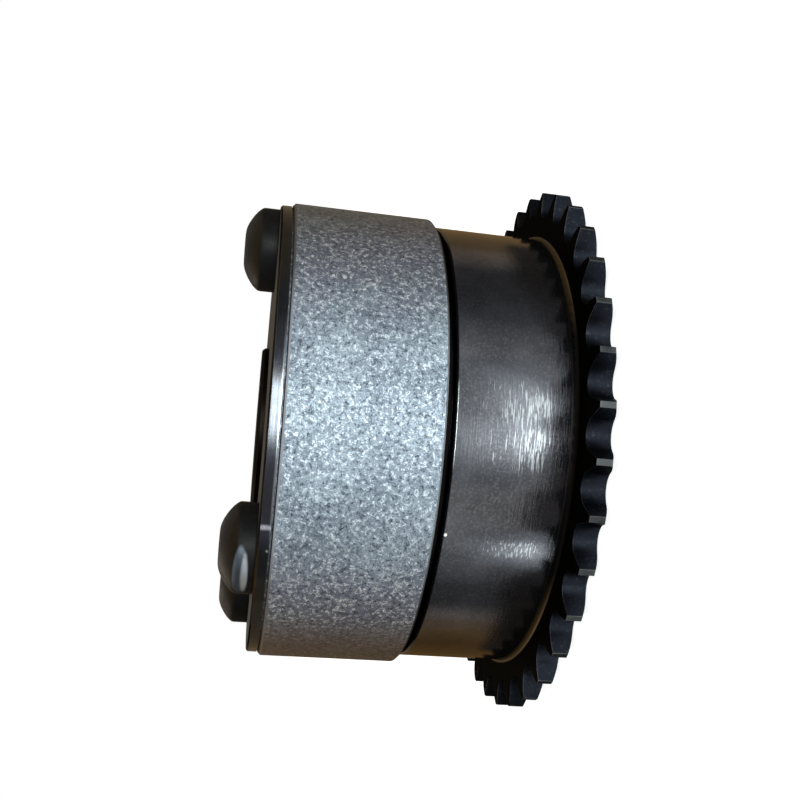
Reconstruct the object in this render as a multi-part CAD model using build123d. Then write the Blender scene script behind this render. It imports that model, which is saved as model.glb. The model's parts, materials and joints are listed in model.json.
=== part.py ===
from build123d import *
import math
import os

os.makedirs("parts", exist_ok=True)

# Camshaft phaser of the hydraulic vane type, with its chain sprocket. Millimetres.
# Z runs along the camshaft. The sprocket's back face lies at Z = 0 and the cover faces up.
# Angles are degrees about Z, counter-clockwise as seen from the cover.

# How far a cut or a joined piece runs past a surface, and how near a corner counts as on a circle
OVERRUN = 1.0
ON_CIRCLE = 1e-4

# Chain ring: roller chain tooth form on the pitch circle
CHAIN_PITCH = 8.0
ROLLER_DIA = 5.0
TEETH = 36
TOOTH_PHASE = -0.7
TOOTH_RISE = 2.2
SEAT_PLAY = 0.025
SEAT_ANGLE = 137.5
FLANK_R = 28.0
SPROCKET_T = 4.0
FRONT_RELIEF = 0.25
FRONT_RELIEF_DEPTH = 2.5
REAR_RELIEF = 1.3
REAR_RELIEF_DEPTH = 6.1

# Sprocket body: barrel, neck, front wall and rear pocket
BARREL_SETBACK = 1.25
BARREL_LEN = 19.3
BARREL_FILLET = 0.8
BARREL_CHAMFER = 0.5
NECK_LEN = 1.1
NECK_DEPTH = 1.4
FRONT_WALL = 11.5
OUTER_WALL = 6.0
HUB_WALL = 8.2
BOLT_BOSS_WALL = 2.4
POCKET_CORNER = 1.2
EDGE_CHAMFER = 0.4

# Stator housing
STATOR_R = 41.0
STATOR_LEN = 24.5
STATOR_WALL = 5.95
STATOR_CHAMFER = 0.45
LAND_LEN = 0.25
LAND_STEP = 1.2
CORNER_R = 0.8

# Front cover
COVER_SETBACK = 0.55
COVER_T = 1.85
COVER_CHAMFER = 0.3

# Cover bolts
BOLT_ANGLES = (-9.0, -125.5, 161.5)
BOLT_INSET = 0.6
BOLT_R = 4.0
BOLT_ENGAGEMENT = 10.5
BOLT_POINT = 0.8
TAP_DRILL_OVER = 1.5
THREAD_PLAY = 0.02
BOLT_PLAY = 0.3
HEAD_R = 7.3
HEAD_H = 6.1
HEAD_DOME_R = 9.5
HEAD_EDGE_R = 0.6
SOCKET_R = 3.35
SOCKET_VALLEY_R = 2.45
SOCKET_DEPTH = 3.5
SOCKET_LOBES = 6

# Rotor
HUB_R = 22.0
VANE_ROOT_R = 0.4
JOURNAL_R = 18.0
JOURNAL_PLAY = 0.04
BOSS_R = 15.0
BOSS_PLAY = 0.08
BOSS_PROUD = 1.2
REAR_RECESS = 0.6
NOSE_BORE_R = 14.0
NOSE_BORE_DEPTH = 11.0
CAM_BOLT_BORE_R = 6.5
CAM_DOWEL_R = 2.5
CAM_DOWEL_DEPTH = 7.0
CAM_DOWEL_ANGLE = 154.0
BORE_CHAMFER = 0.5
FACE_PLAY = 0.05
TIP_PLAY = 0.1

# Lobes of the stator, each from a start angle to an end angle, and the cam travel between stops
LOBES = ((-28.0, 5.0), (63.0, 91.0), (149.0, 175.0), (221.0, 254.0))
TRAVEL_ANGLE = 25.0
STOP_PLAY_ANGLE = 0.4
FREE_PLAY_ANGLE = 1.2
WIDE_CHAMBER_INDEX = 3

# Oil drillings of the rotor
DRILLING_R = 1.3
GALLERY_R = 1.4
ADVANCE_HEIGHT = 19.0
RETARD_HEIGHT = 6.0
PORT_INSET_ANGLE = 4.0

# Seals and their leaf springs
SEAL_W = 2.0
SEAL_H = 2.0
SLOT_PLAY = 0.03
SLOT_DEPTH = 2.95
SEAL_LIFT = 0.05
LEAF_T = 0.22
LEAF_W = 1.6
LEAF_INSET = 1.2
WIDE_SEAL_ANGLE = 17.0

# Lock pin, its spring, cap and seat
PIN_WALL = 1.82
PIN_PLAY = 0.03
PIN_NOSE_LEN = 2.6
PIN_NOSE_STEP = 0.9
PIN_NOSE_TAPER = 0.25
PIN_LIFT = 0.1
PIN_STROKE = 2.6
PIN_STOP_PLAY = 0.15
PIN_CUP_WALL = 1.25
PIN_CUP_DEPTH = 9.0
PIN_SPRING_PLAY = 0.25
PIN_SPRING_WIRE_R = 0.4
PIN_SPRING_TURNS = 6
SPRING_SEAT_PLAY = 0.05
CAP_T = 2.4
CAP_VENT_R = 1.0
PRESS_PLAY = 0.01
SEAT_BUSH_WALL = 1.75
SEAT_BUSH_LEN = 4.2
SEAT_BORE_PLAY = 0.25
SEAT_VENT_R = 1.0

# Dowels
DOWEL_LOBE_INDEX = 1
REAR_DOWEL_R = 2.5
REAR_DOWEL_LEN = 12.0
COVER_DOWEL_R = 2.0
COVER_DOWEL_LEN = 7.0
DOWEL_SETBACK = 0.4
DOWEL_CHAMFER = 0.4
DOWEL_SPREAD_ANGLE = 5.0

# Stations along the axis
PITCH_R = CHAIN_PITCH / (2 * math.sin(math.pi / TEETH))
TIP_R = PITCH_R + TOOTH_RISE
SEAT_R = ROLLER_DIA / 2 + SEAT_PLAY
STEP_ANGLE = 360.0 / TEETH
BARREL_R = STATOR_R - BARREL_SETBACK
COVER_R = STATOR_R - COVER_SETBACK
BARREL_TOP = SPROCKET_T + BARREL_LEN
JOINT_Z = BARREL_TOP + NECK_LEN
NECK_R = BARREL_R - NECK_DEPTH
POCKET_TOP = JOINT_Z - FRONT_WALL
POCKET_OUT_R = BARREL_R - OUTER_WALL
POCKET_IN_R = JOURNAL_R + JOURNAL_PLAY + HUB_WALL
STATOR_TOP = JOINT_Z + STATOR_LEN
COVER_TOP = STATOR_TOP + COVER_T
CHAMBER_R = STATOR_R - STATOR_WALL
LOBE_TIP_R = HUB_R + TIP_PLAY
LOBE_SLOT_FLOOR_R = LOBE_TIP_R + SLOT_DEPTH
BOLT_CIRCLE_R = (STATOR_R + LOBE_SLOT_FLOOR_R) / 2 - BOLT_INSET
VANE_TIP_R = CHAMBER_R - TIP_PLAY
ROTOR_BOTTOM = JOINT_Z + FACE_PLAY
ROTOR_TOP = STATOR_TOP - FACE_PLAY
BOSS_TOP = COVER_TOP + BOSS_PROUD
NOSE_BORE_TOP = REAR_RECESS + NOSE_BORE_DEPTH
NOSE_SEAT_MIDDLE_R = (NOSE_BORE_R + CAM_BOLT_BORE_R) / 2
BOLT_END = JOINT_Z - BOLT_ENGAGEMENT
TAP_DRILL_END = BOLT_END - TAP_DRILL_OVER
BOLT_BOSS_R = BOLT_R + BOLT_BOSS_WALL
BOLT_BOSS_END = TAP_DRILL_END - BOLT_BOSS_WALL
SLOT_W = SEAL_W + 2 * SLOT_PLAY
ROTOR_LEN = ROTOR_TOP - ROTOR_BOTTOM
PIN_CIRCLE_R = (VANE_TIP_R + HUB_R) / 2
PIN_BORE_R = (VANE_TIP_R - HUB_R) / 2 - PIN_WALL
PIN_R = PIN_BORE_R - PIN_PLAY
PIN_NOSE_R = PIN_R - PIN_NOSE_STEP
PIN_CUP_R = PIN_R - PIN_CUP_WALL
PIN_SPRING_R = PIN_CUP_R - PIN_SPRING_PLAY - PIN_SPRING_WIRE_R
SEAT_BORE_R = PIN_NOSE_R + SEAT_BORE_PLAY
SEAT_BUSH_R = SEAT_BORE_R + SEAT_BUSH_WALL
PIN_BOTTOM = JOINT_Z + PIN_LIFT
CAP_BOTTOM = ROTOR_TOP - CAP_T
PIN_TOP = CAP_BOTTOM - PIN_STROKE - PIN_STOP_PLAY
PIN_CUP_FLOOR = PIN_TOP - PIN_CUP_DEPTH
SEAT_BUSH_BOTTOM = JOINT_Z - SEAT_BUSH_LEN


def polar(radius, degrees):
    angle = math.radians(degrees)
    return Vector(radius * math.cos(angle), radius * math.sin(angle), 0)


def disc(radius, low, high, x=0.0, y=0.0):
    blank = Cylinder(radius, high - low, align=(Align.CENTER, Align.CENTER, Align.MIN))
    return Pos(x, y, low) * blank


def disc_at(radius, low, high, circle_r, degrees):
    place = polar(circle_r, degrees)
    return disc(radius, low, high, place.X, place.Y)


def turned(points):
    """A ring or shaft turned about Z from (radius, height) points."""
    section = make_face(Polyline([(r, 0, z) for r, z in points], close=True))
    return revolve(section, Axis.Z, 360)


def sector(r_in, r_out, start, end):
    """A flat piece of a ring between two angles."""
    middle = (start + end) / 2
    outline = [
        Line(polar(r_in, start), polar(r_out, start)),
        ThreePointArc(polar(r_out, start), polar(r_out, middle), polar(r_out, end)),
        Line(polar(r_out, end), polar(r_in, end)),
        ThreePointArc(polar(r_in, end), polar(r_in, middle), polar(r_in, start)),
    ]
    return make_face(outline)


def rounded_at(sketch, radius, corner_r):
    """The sketch with its corners on one circle rounded."""
    corners = [v for v in sketch.vertices() if abs(Vector(v.X, v.Y, 0).length - radius) < ON_CIRCLE]
    return fillet(corners, corner_r)


# The spaces between the lobes: start angle, end angle
def chambers():
    spaces = []
    for i, lobe in enumerate(LOBES):
        following = LOBES[(i + 1) % len(LOBES)]
        end = following[0]
        if end < lobe[1]:
            end += 360.0
        spaces.append((lobe[1], end))
    return spaces


# The vanes stand at full retard, at the counter-clockwise end of each space
def vanes():
    spans = []
    for i, space in enumerate(chambers()):
        play = STOP_PLAY_ANGLE if i == WIDE_CHAMBER_INDEX else FREE_PLAY_ANGLE
        spans.append((space[0] + TRAVEL_ANGLE + play, space[1] - play))
    return spans


def vane_middle(index):
    span = vanes()[index]
    return (span[0] + span[1]) / 2


def vane_seal_angle(index):
    offset = WIDE_SEAL_ANGLE if index == WIDE_CHAMBER_INDEX else 0.0
    return vane_middle(index) + offset


def lobe_middle(index):
    return (LOBES[index][0] + LOBES[index][1]) / 2


PIN_ANGLE = vane_middle(WIDE_CHAMBER_INDEX)


# Chain ring
def flank_end(start, seat_centre):
    """Where the convex flank that leaves the seat at start meets the tip circle, and its middle."""
    outward = (start - seat_centre).normalized()
    centre = start + outward * FLANK_R
    distance = centre.length
    along = (distance**2 + TIP_R**2 - FLANK_R**2) / (2 * distance)
    across = math.sqrt(TIP_R**2 - along**2)
    axis = centre.normalized()
    normal = Vector(-axis.Y, axis.X, 0)
    ends = (axis * along + normal * across, axis * along - normal * across)
    end = min(ends, key=lambda point: (point - start).length)
    middle = centre + ((start + end) * 0.5 - centre).normalized() * FLANK_R
    return end, middle


def tooth_gap(degrees):
    """Edges of one roller seat with its two flanks, and the two tip points."""
    seat_centre = polar(PITCH_R, degrees)
    inward = degrees + 180.0
    half = SEAT_ANGLE / 2
    low = seat_centre + polar(SEAT_R, inward + half)
    high = seat_centre + polar(SEAT_R, inward - half)
    low_tip, low_mid = flank_end(low, seat_centre)
    high_tip, high_mid = flank_end(high, seat_centre)
    bottom = seat_centre + polar(SEAT_R, inward)
    edges = [
        ThreePointArc(low_tip, low_mid, low),
        ThreePointArc(low, bottom, high),
        ThreePointArc(high, high_mid, high_tip),
    ]
    return edges, low_tip, high_tip


def tooth_outline():
    edges = []
    gaps = [tooth_gap(TOOTH_PHASE + (k + 0.5) * STEP_ANGLE) for k in range(TEETH)]
    for k, (gap, low_tip, high_tip) in enumerate(gaps):
        next_low_tip = gaps[(k + 1) % TEETH][1]
        land_middle = polar(TIP_R, TOOTH_PHASE + (k + 1) * STEP_ANGLE)
        edges += gap
        edges.append(ThreePointArc(high_tip, land_middle, next_low_tip))
    return make_face(edges)


def side_arc(face, inward, relief, depth):
    """Round relief of one side of the teeth, from where it leaves the flat face to past the tips."""
    arc_r = (depth**2 + relief**2) / (2 * relief)
    run = depth + OVERRUN
    points = []
    for reach in (0, run / 2, run):
        fall = arc_r - math.sqrt(arc_r**2 - reach**2)
        points.append((TIP_R - depth + reach, 0, face + inward * fall))
    return points


def chain_ring():
    """Toothed disc whose teeth are relieved a little in front and more at the back."""
    front = side_arc(SPROCKET_T, -1, FRONT_RELIEF, FRONT_RELIEF_DEPTH)
    rear = side_arc(0, 1, REAR_RELIEF, REAR_RELIEF_DEPTH)
    section = make_face(
        [
            Line((0, 0, 0), (0, 0, SPROCKET_T)),
            Line((0, 0, SPROCKET_T), front[0]),
            ThreePointArc(*front),
            Line(front[2], rear[2]),
            ThreePointArc(*reversed(rear)),
            Line(rear[0], (0, 0, 0)),
        ]
    )
    relieved = revolve(section, Axis.Z, 360)
    return extrude(tooth_outline(), SPROCKET_T) & relieved


def barrel():
    """Barrel and neck in front of the chain ring, with the fillet at its root."""
    root_r = BARREL_R + BARREL_FILLET
    root_z = SPROCKET_T + BARREL_FILLET
    lean = BARREL_FILLET * (1 - math.sqrt(0.5))
    section = make_face(
        [
            Line((0, 0, 0), (root_r, 0, 0)),
            Line((root_r, 0, 0), (root_r, 0, SPROCKET_T)),
            ThreePointArc(
                (root_r, 0, SPROCKET_T),
                (BARREL_R + lean, 0, SPROCKET_T + lean),
                (BARREL_R, 0, root_z),
            ),
            Polyline(
                (BARREL_R, 0, root_z),
                (BARREL_R, 0, BARREL_TOP - BARREL_CHAMFER),
                (BARREL_R - BARREL_CHAMFER, 0, BARREL_TOP),
                (NECK_R, 0, BARREL_TOP),
                (NECK_R, 0, JOINT_Z),
                (0, 0, JOINT_Z),
                (0, 0, 0),
            ),
        ]
    )
    return revolve(section, Axis.Z, 360)


def rear_pocket():
    """Ring-shaped pocket that lightens the barrel, open at the back, around the bolt bosses."""
    floor = POCKET_TOP - POCKET_CORNER
    pocket = turned(
        [
            (POCKET_IN_R, 0),
            (POCKET_OUT_R, 0),
            (POCKET_OUT_R, floor),
            (POCKET_OUT_R - POCKET_CORNER, POCKET_TOP),
            (POCKET_IN_R + POCKET_CORNER, POCKET_TOP),
            (POCKET_IN_R, floor),
        ]
    )
    for degrees in BOLT_ANGLES:
        pocket -= disc_at(BOLT_BOSS_R, BOLT_BOSS_END, POCKET_TOP, BOLT_CIRCLE_R, degrees)
    return pocket


def sprocket_body():
    part = chain_ring() + barrel()
    part -= rear_pocket()
    bore_r = JOURNAL_R + JOURNAL_PLAY
    part -= turned(
        [
            (0, 0),
            (bore_r + EDGE_CHAMFER, 0),
            (bore_r, EDGE_CHAMFER),
            (bore_r, JOINT_Z - EDGE_CHAMFER),
            (bore_r + EDGE_CHAMFER, JOINT_Z),
            (0, JOINT_Z),
        ]
    )
    for degrees in BOLT_ANGLES:
        hole_r = BOLT_R + THREAD_PLAY
        part -= disc_at(hole_r, TAP_DRILL_END, JOINT_Z, BOLT_CIRCLE_R, degrees)
    bush_r = SEAT_BUSH_R + PRESS_PLAY
    part -= disc_at(bush_r, SEAT_BUSH_BOTTOM, JOINT_Z, PIN_CIRCLE_R, PIN_ANGLE)
    part -= disc_at(SEAT_VENT_R, 0, SEAT_BUSH_BOTTOM, PIN_CIRCLE_R, PIN_ANGLE)
    part -= rear_dowel_space(PRESS_PLAY)
    return part


# Stator housing
def stator_cavity():
    cavity = Sketch() + Circle(LOBE_TIP_R)
    for start, end in chambers():
        cavity += sector(HUB_R, CHAMBER_R, start, end)
    cavity = rounded_at(cavity, CHAMBER_R, CORNER_R)
    return rounded_at(cavity, LOBE_TIP_R, CORNER_R)


def stator_housing():
    body_top = STATOR_TOP - LAND_LEN
    land_r = STATOR_R - LAND_STEP
    part = turned(
        [
            (0, JOINT_Z),
            (STATOR_R - STATOR_CHAMFER, JOINT_Z),
            (STATOR_R, JOINT_Z + STATOR_CHAMFER),
            (STATOR_R, body_top - STATOR_CHAMFER),
            (STATOR_R - STATOR_CHAMFER, body_top),
            (land_r, body_top),
            (land_r, STATOR_TOP),
            (0, STATOR_TOP),
        ]
    )
    part -= Pos(0, 0, JOINT_Z) * extrude(stator_cavity(), STATOR_LEN)
    for degrees in BOLT_ANGLES:
        hole_r = BOLT_R + BOLT_PLAY
        part -= disc_at(hole_r, JOINT_Z, STATOR_TOP, BOLT_CIRCLE_R, degrees)
    for index in range(len(LOBES)):
        part -= seal_slot(LOBE_TIP_R, lobe_middle(index), JOINT_Z, STATOR_TOP)
    part -= rear_dowel_space(SLOT_PLAY)
    part -= cover_dowel_space(PRESS_PLAY)
    return part


# Front cover
def front_cover():
    opening_r = BOSS_R + BOSS_PLAY
    part = turned(
        [
            (opening_r, STATOR_TOP),
            (COVER_R, STATOR_TOP),
            (COVER_R, COVER_TOP - COVER_CHAMFER),
            (COVER_R - COVER_CHAMFER, COVER_TOP),
            (opening_r + EDGE_CHAMFER, COVER_TOP),
            (opening_r, COVER_TOP - EDGE_CHAMFER),
        ]
    )
    for degrees in BOLT_ANGLES:
        hole_r = BOLT_R + BOLT_PLAY
        part -= disc_at(hole_r, STATOR_TOP, COVER_TOP, BOLT_CIRCLE_R, degrees)
    return part - cover_dowel_space(SLOT_PLAY)


# Cover bolts
def bolt_socket():
    """Six-lobed drive recess, drawn as alternating lobe and valley arcs."""
    share = 360.0 / SOCKET_LOBES
    shoulder_r = (SOCKET_R + SOCKET_VALLEY_R) / 2
    edges = []
    for k in range(SOCKET_LOBES):
        lobe = k * share
        before = polar(shoulder_r, lobe - share / 4)
        after = polar(shoulder_r, lobe + share / 4)
        following = polar(shoulder_r, lobe + 3 * share / 4)
        valley = polar(SOCKET_VALLEY_R, lobe + share / 2)
        edges.append(ThreePointArc(before, polar(SOCKET_R, lobe), after))
        edges.append(ThreePointArc(after, valley, following))
    return extrude(make_face(edges), SOCKET_DEPTH)


def bolt_head():
    """Low head: short side wall, rounded edge and a shallow dome."""
    sag = HEAD_DOME_R - math.sqrt(HEAD_DOME_R**2 - HEAD_R**2)
    side_h = HEAD_H - sag
    half_angle = math.asin(HEAD_R / HEAD_DOME_R) / 2
    dome_x = HEAD_DOME_R * math.sin(half_angle)
    dome_z = HEAD_H - HEAD_DOME_R * (1 - math.cos(half_angle))
    section = make_face(
        [
            Line((0, 0, 0), (HEAD_R, 0, 0)),
            Line((HEAD_R, 0, 0), (HEAD_R, 0, side_h)),
            ThreePointArc((HEAD_R, 0, side_h), (dome_x, 0, dome_z), (0, 0, HEAD_H)),
            Line((0, 0, HEAD_H), (0, 0, 0)),
        ]
    )
    rim = section.vertices().sort_by_distance((HEAD_R, 0, side_h))[0]
    return revolve(fillet(rim, HEAD_EDGE_R), Axis.Z, 360)


def cover_bolt(degrees):
    head = bolt_head() - Pos(0, 0, HEAD_H - SOCKET_DEPTH) * bolt_socket()
    shank_len = COVER_TOP - BOLT_END
    shank = turned(
        [
            (0, 0),
            (0, -shank_len),
            (BOLT_R - BOLT_POINT, -shank_len),
            (BOLT_R, BOLT_POINT - shank_len),
            (BOLT_R, 0),
        ]
    )
    place = polar(BOLT_CIRCLE_R, degrees)
    return Pos(place.X, place.Y, COVER_TOP) * Rot(0, 0, degrees) * (head + shank)


def cover_bolts():
    return Compound(children=[cover_bolt(degrees).solid() for degrees in BOLT_ANGLES])


# Rotor
def vane_outline():
    outline = Sketch() + Circle(HUB_R)
    for start, end in vanes():
        outline += sector(HUB_R - CORNER_R, VANE_TIP_R, start, end)
    outline = rounded_at(outline, VANE_TIP_R, CORNER_R)
    return rounded_at(outline, HUB_R, VANE_ROOT_R)


def journal_and_boss():
    boss_edge = BOSS_R - BORE_CHAMFER
    journal_edge = JOURNAL_R - BORE_CHAMFER
    return turned(
        [
            (0, REAR_RECESS),
            (journal_edge, REAR_RECESS),
            (JOURNAL_R, REAR_RECESS + BORE_CHAMFER),
            (JOURNAL_R, ROTOR_BOTTOM + OVERRUN),
            (BOSS_R, ROTOR_BOTTOM + OVERRUN),
            (BOSS_R, BOSS_TOP - BORE_CHAMFER),
            (boss_edge, BOSS_TOP),
            (0, BOSS_TOP),
        ]
    )


def cam_bores():
    """Bore for the camshaft's nose, the hole for its dowel, and the bolt's bore."""
    nose = turned(
        [
            (0, REAR_RECESS),
            (NOSE_BORE_R + BORE_CHAMFER, REAR_RECESS),
            (NOSE_BORE_R, REAR_RECESS + BORE_CHAMFER),
            (NOSE_BORE_R, NOSE_BORE_TOP),
            (0, NOSE_BORE_TOP),
        ]
    )
    bolt = turned(
        [
            (0, NOSE_BORE_TOP),
            (CAM_BOLT_BORE_R, NOSE_BORE_TOP),
            (CAM_BOLT_BORE_R, BOSS_TOP - BORE_CHAMFER),
            (CAM_BOLT_BORE_R + BORE_CHAMFER, BOSS_TOP),
            (0, BOSS_TOP),
        ]
    )
    dowel_top = NOSE_BORE_TOP + CAM_DOWEL_DEPTH
    dowel = disc_at(CAM_DOWEL_R, NOSE_BORE_TOP, dowel_top, NOSE_SEAT_MIDDLE_R, CAM_DOWEL_ANGLE)
    return nose + bolt + dowel


def spoke(radius, degrees, height, start_r, end_r):
    """A drilling that runs outward from the axis."""
    length = end_r - start_r
    drill = Cylinder(radius, length, align=(Align.CENTER, Align.CENTER, Align.MIN))
    return Rot(0, 0, degrees) * Pos(start_r, 0, height) * Rot(0, 90, 0) * drill


def oil_drillings():
    """Advance drillings from the bolt's bore, retard drillings from the camshaft's nose bore."""
    cuts = []
    for start, end in vanes():
        advance = end + PORT_INSET_ANGLE
        retard = start - PORT_INSET_ANGLE
        advance_z = ROTOR_BOTTOM + ADVANCE_HEIGHT
        retard_z = ROTOR_BOTTOM + RETARD_HEIGHT
        gallery_top = retard_z + GALLERY_R
        cuts.append(spoke(DRILLING_R, advance, advance_z, 0, HUB_R + OVERRUN))
        cuts.append(spoke(DRILLING_R, retard, retard_z, NOSE_SEAT_MIDDLE_R, HUB_R + OVERRUN))
        cuts.append(disc_at(GALLERY_R, NOSE_BORE_TOP, gallery_top, NOSE_SEAT_MIDDLE_R, retard))
    return cuts


def rotor():
    part = Pos(0, 0, ROTOR_BOTTOM) * extrude(vane_outline(), ROTOR_LEN)
    part += journal_and_boss()
    part -= cam_bores()
    for index in range(len(LOBES)):
        part -= seal_slot(VANE_TIP_R, vane_seal_angle(index), ROTOR_BOTTOM, ROTOR_TOP)
    part -= disc_at(PIN_BORE_R, ROTOR_BOTTOM, ROTOR_TOP, PIN_CIRCLE_R, PIN_ANGLE)
    for cut in oil_drillings():
        part -= cut
    return part


# Seals and leaf springs
def block(depth, width, low, high, middle_r, degrees):
    blank = Box(depth, width, high - low, align=(Align.CENTER, Align.CENTER, Align.MIN))
    return Rot(0, 0, degrees) * Pos(middle_r, 0, low) * blank


def seal_slot(mouth_r, degrees, low, high):
    """Cut for a seal's slot, as deep beyond its curved mouth as behind it."""
    return block(2 * SLOT_DEPTH, SLOT_W, low, high, mouth_r, degrees)


def vane_seal(index):
    outer = VANE_TIP_R + SEAL_LIFT
    bar = block(2 * SEAL_H, SEAL_W, ROTOR_BOTTOM, ROTOR_TOP, outer, vane_seal_angle(index))
    return bar & disc(outer, ROTOR_BOTTOM, ROTOR_TOP)


def lobe_seal(index):
    inner = LOBE_TIP_R - SEAL_LIFT
    bar = block(2 * SEAL_H, SEAL_W, ROTOR_BOTTOM, ROTOR_TOP, inner, lobe_middle(index))
    return bar - disc(inner, ROTOR_BOTTOM, ROTOR_TOP)


def leaf_spring(floor_r, seal_r, degrees):
    """Bowed strip whose ends rest on the slot's floor and whose middle bears on the seal."""
    side = 1.0 if seal_r > floor_r else -1.0
    low = ROTOR_BOTTOM + LEAF_INSET
    high = ROTOR_TOP - LEAF_INSET
    middle = (low + high) / 2
    foot = floor_r + side * SPRING_SEAT_PLAY
    crown = seal_r - side * SPRING_SEAT_PLAY
    rise = side * LEAF_T
    section = make_face(
        [
            ThreePointArc((foot, 0, low), (crown - rise, 0, middle), (foot, 0, high)),
            Line((foot, 0, high), (foot + rise, 0, high)),
            ThreePointArc((foot + rise, 0, high), (crown, 0, middle), (foot + rise, 0, low)),
            Line((foot + rise, 0, low), (foot, 0, low)),
        ]
    )
    return Rot(0, 0, degrees) * extrude(section, LEAF_W / 2, both=True)


def vane_spring(index):
    floor_r = VANE_TIP_R - SLOT_DEPTH
    seal_r = VANE_TIP_R + SEAL_LIFT - SEAL_H
    return leaf_spring(floor_r, seal_r, vane_seal_angle(index))


def lobe_spring(index):
    seal_r = LOBE_TIP_R - SEAL_LIFT + SEAL_H
    return leaf_spring(LOBE_SLOT_FLOOR_R, seal_r, lobe_middle(index))


# Lock pin group
def at_pin(shape):
    place = polar(PIN_CIRCLE_R, PIN_ANGLE)
    return Pos(place.X, place.Y, 0) * shape


def lock_pin():
    shoulder = PIN_BOTTOM + PIN_NOSE_LEN
    return at_pin(
        turned(
            [
                (0, PIN_BOTTOM),
                (PIN_NOSE_R - PIN_NOSE_TAPER, PIN_BOTTOM),
                (PIN_NOSE_R, shoulder),
                (PIN_R, shoulder),
                (PIN_R, PIN_TOP),
                (PIN_CUP_R, PIN_TOP),
                (PIN_CUP_R, PIN_CUP_FLOOR),
                (0, PIN_CUP_FLOOR),
            ]
        )
    )


def lock_pin_spring():
    low = PIN_CUP_FLOOR + SPRING_SEAT_PLAY + PIN_SPRING_WIRE_R
    high = CAP_BOTTOM - SPRING_SEAT_PLAY - PIN_SPRING_WIRE_R
    length = high - low
    coil = Helix(pitch=length / PIN_SPRING_TURNS, height=length, radius=PIN_SPRING_R)
    wire = Plane(origin=coil @ 0, z_dir=coil % 0) * Circle(PIN_SPRING_WIRE_R)
    return at_pin(Pos(0, 0, low) * sweep(wire, path=coil))


def lock_pin_cap():
    return at_pin(
        turned(
            [
                (CAP_VENT_R, CAP_BOTTOM),
                (PIN_BORE_R - PRESS_PLAY, CAP_BOTTOM),
                (PIN_BORE_R - PRESS_PLAY, ROTOR_TOP),
                (CAP_VENT_R, ROTOR_TOP),
            ]
        )
    )


def lock_pin_seat():
    floor_r = SEAT_BORE_R - PIN_NOSE_TAPER
    return at_pin(
        turned(
            [
                (floor_r, SEAT_BUSH_BOTTOM),
                (SEAT_BUSH_R, SEAT_BUSH_BOTTOM),
                (SEAT_BUSH_R, JOINT_Z),
                (SEAT_BORE_R, JOINT_Z),
            ]
        )
    )


# Dowels
def dowel(radius, low, high):
    edge = radius - DOWEL_CHAMFER
    return turned(
        [
            (0, low),
            (edge, low),
            (radius, low + DOWEL_CHAMFER),
            (radius, high - DOWEL_CHAMFER),
            (edge, high),
            (0, high),
        ]
    )


def rear_dowel_place():
    return polar(BOLT_CIRCLE_R, lobe_middle(DOWEL_LOBE_INDEX) + DOWEL_SPREAD_ANGLE)


def cover_dowel_place():
    return polar(BOLT_CIRCLE_R, lobe_middle(DOWEL_LOBE_INDEX) - DOWEL_SPREAD_ANGLE)


def rear_dowel_space(play):
    place = rear_dowel_place()
    low = JOINT_Z - REAR_DOWEL_LEN / 2
    return disc(REAR_DOWEL_R + play, low, low + REAR_DOWEL_LEN, place.X, place.Y)


def cover_dowel_space(play):
    place = cover_dowel_place()
    low = COVER_TOP - DOWEL_SETBACK - COVER_DOWEL_LEN
    return disc(COVER_DOWEL_R + play, low, COVER_TOP, place.X, place.Y)


def rear_dowel():
    place = rear_dowel_place()
    low = JOINT_Z - REAR_DOWEL_LEN / 2
    return Pos(place.X, place.Y, 0) * dowel(REAR_DOWEL_R, low, low + REAR_DOWEL_LEN)


def cover_dowel():
    place = cover_dowel_place()
    high = COVER_TOP - DOWEL_SETBACK
    return Pos(place.X, place.Y, 0) * dowel(COVER_DOWEL_R, high - COVER_DOWEL_LEN, high)


def main():
    nodes = {
        "sprocket_body": sprocket_body(),
        "stator_housing": stator_housing(),
        "front_cover": front_cover(),
        "cover_bolts": cover_bolts(),
        "rotor": rotor(),
        "lock_pin": lock_pin(),
        "lock_pin_spring": lock_pin_spring(),
        "lock_pin_cap": lock_pin_cap(),
        "lock_pin_seat": lock_pin_seat(),
        "rear_dowel": rear_dowel(),
        "cover_dowel": cover_dowel(),
    }
    for index in range(len(LOBES)):
        number = index + 1
        nodes[f"vane_seal_{number}"] = vane_seal(index)
        nodes[f"vane_seal_spring_{number}"] = vane_spring(index)
        nodes[f"lobe_seal_{number}"] = lobe_seal(index)
        nodes[f"lobe_seal_spring_{number}"] = lobe_spring(index)
    for name, shape in nodes.items():
        shape.label = name
        export_step(shape, f"parts/{name}.step")


main()
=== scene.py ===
import json
import math

import bpy
from mathutils import Matrix, Vector


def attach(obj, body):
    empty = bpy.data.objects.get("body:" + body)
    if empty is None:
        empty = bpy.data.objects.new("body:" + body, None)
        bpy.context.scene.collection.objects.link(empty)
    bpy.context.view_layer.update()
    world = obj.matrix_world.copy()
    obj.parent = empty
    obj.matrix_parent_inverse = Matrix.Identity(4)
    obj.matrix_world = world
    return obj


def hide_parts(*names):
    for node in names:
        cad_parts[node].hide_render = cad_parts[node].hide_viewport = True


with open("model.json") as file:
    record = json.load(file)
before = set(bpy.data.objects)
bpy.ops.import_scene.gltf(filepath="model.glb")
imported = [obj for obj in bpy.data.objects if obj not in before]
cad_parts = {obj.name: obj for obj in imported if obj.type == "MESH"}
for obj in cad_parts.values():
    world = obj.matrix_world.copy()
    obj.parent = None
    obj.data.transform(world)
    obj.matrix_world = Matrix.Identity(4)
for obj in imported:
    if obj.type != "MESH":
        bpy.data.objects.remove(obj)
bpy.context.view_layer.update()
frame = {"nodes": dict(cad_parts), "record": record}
bpy.context.scene.view_settings.view_transform = "Standard"

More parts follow.
